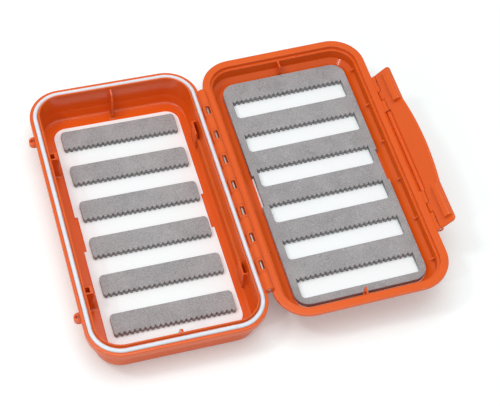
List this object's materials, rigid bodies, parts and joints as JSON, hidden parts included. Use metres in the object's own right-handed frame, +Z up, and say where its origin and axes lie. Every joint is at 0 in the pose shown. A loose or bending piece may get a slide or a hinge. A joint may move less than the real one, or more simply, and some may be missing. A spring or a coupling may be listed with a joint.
{
  "type": "fly box",
  "caption": "Flat two-tray case for fishing flies, lying open on its barrel hinge, with a sealed rim, toothed foam for the flies and a long latch flap.",
  "frame": {"origin": "on the surface that the box lies on, under the middle of the open box's bounding box", "axes": "+Z up, +Y along the hinge, +X from the deep base towards the lid and its latch flap"},
  "size_m": [0.2294, 0.19, 0.039],
  "materials": {
    "orange_plastic": "satin",
    "seal_rubber": "satin",
    "white_board": "satin",
    "grey_foam": "matte",
    "steel": "satin"
  },
  "bodies": {
    "base": {"base_tray": "orange_plastic", "base_gasket": "seal_rubber", "base_board": "white_board", "base_foam_1": "grey_foam", "base_foam_2": "grey_foam", "base_foam_3": "grey_foam", "base_foam_4": "grey_foam", "base_foam_5": "grey_foam", "base_foam_6": "grey_foam", "hinge_pin": "steel"},
    "lid": {"lid_tray": "orange_plastic", "lid_board": "white_board", "lid_foam_pad": "grey_foam", "latch_pin_far": "steel", "latch_pin_near": "steel"},
    "latch": {"latch_flap": "orange_plastic"}
  },
  "joints": [
    {"name": "lid_hinge", "type": "hinge", "parent": "base", "child": "lid", "pos_m": [-0.00432, 0, 0.02405], "axis": [0, -1, 0], "range_deg": [0, 177.3]},
    {"name": "latch_hinge", "type": "hinge", "parent": "lid", "child": "latch", "pos_m": [0.10505, 0, 0.02736], "axis": [0, -1, 0], "range_deg": [-134, 46]}
  ]
}
